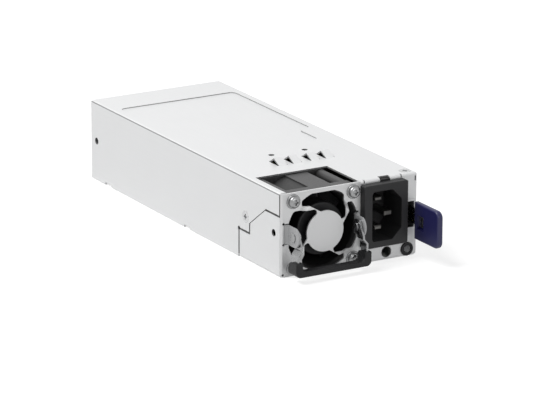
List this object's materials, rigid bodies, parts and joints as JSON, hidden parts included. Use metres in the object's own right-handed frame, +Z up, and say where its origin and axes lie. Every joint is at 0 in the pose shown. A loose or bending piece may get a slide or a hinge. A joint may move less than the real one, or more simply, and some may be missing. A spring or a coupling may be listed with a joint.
{
  "type": "switching power supply",
  "caption": "Slim slide-in switching power supply in a folded sheet case, with a guarded fan, keyed mains inlet, fold-down handle, release tab and rear card edge.",
  "frame": {"origin": "middle of the case's underside, the plane that the module slides on", "axes": "+Z up, -Y is the front with the fan guard and the mains inlet, +Y is the way the module slides in, +X is the side with the release latch"},
  "size_m": [0.0751, 0.2174, 0.0425],
  "materials": {
    "galvanised_steel": "satin galvanised sheet",
    "zinc_screw": "zinc plated",
    "bright_steel": "bright plated",
    "nickel_brass": "nickel plated",
    "copper": "enamelled",
    "gold": "gold plated",
    "aluminium": "plain",
    "ferrite": "matt",
    "dark_plastic": "matt moulded",
    "black_plastic": "matt moulded",
    "black_sleeve": "shrink sleeve",
    "blue_plastic": "matt moulded",
    "yellow_plastic": "tape and resin",
    "white_plastic": "matt",
    "clear_plastic": "clear moulded",
    "clear_film": "thin film",
    "green_board": "solder mask"
  },
  "bodies": {
    "housing": {"base_tray": "galvanised_steel", "base_sides": "galvanised_steel", "front_panel": "galvanised_steel", "handle_ears": "galvanised_steel", "rear_panel": "galvanised_steel", "top_cover": "galvanised_steel", "cover_sides": "galvanised_steel", "cover_screws": "zinc_screw", "fan_screws": "zinc_screw", "fan_frame": "dark_plastic", "fan_barrel": "dark_plastic", "fan_posts": "dark_plastic", "fan_rear_frame": "dark_plastic", "fan_stator": "copper", "handle_rivets": "bright_steel", "inlet_housing": "dark_plastic", "inlet_pins": "nickel_brass", "led_bezel": "black_plastic", "light_pipe": "clear_plastic", "status_led": "white_plastic", "latch_foot": "bright_steel", "latch_rivets": "bright_steel", "main_board": "green_board", "edge_contacts": "gold", "board_standoffs": "nickel_brass", "board_screws": "zinc_screw", "insulation_liner": "clear_film", "bulk_capacitor": "black_sleeve", "capacitor_seat": "black_plastic", "emi_chokes": "copper", "x_capacitors": "yellow_plastic", "relay": "black_plastic", "fuse": "white_plastic", "bridge_rectifier": "black_plastic", "primary_heatsink": "aluminium", "power_transistors": "black_plastic", "pfc_choke_core": "ferrite", "pfc_choke_winding": "copper", "transformer_core": "ferrite", "transformer_winding": "yellow_plastic", "secondary_heatsink": "aluminium", "output_capacitors": "aluminium", "output_busbars": "copper", "control_board": "green_board", "control_chips": "black_plastic", "fan_header": "white_plastic"},
    "fan_rotor": {"fan_impeller": "black_plastic", "rotor_magnet": "ferrite", "fan_shaft": "bright_steel"},
    "handle": {"handle_arms": "bright_steel", "handle_grip": "black_plastic"},
    "latch": {"latch_arm": "bright_steel", "latch_tab": "blue_plastic"}
  },
  "joints": [
    {"name": "fan_spin", "type": "hinge", "parent": "housing", "child": "fan_rotor", "pos_m": [-0.0143, -0.07, 0.0198], "axis": [0, 1, 0], "continuous": true},
    {"name": "handle_swing", "type": "hinge", "parent": "housing", "child": "handle", "pos_m": [-0.0155, -0.09805, 0.02065], "axis": [-1, 0, 0], "range_deg": [0, 90]},
    {"name": "latch_flex", "type": "hinge", "parent": "housing", "child": "latch", "pos_m": [0.03435, -0.0515, 0.0195], "axis": [0, 0, -1], "range_deg": [0, 3], "stiffness_Nm_per_rad": 0.6}
  ]
}
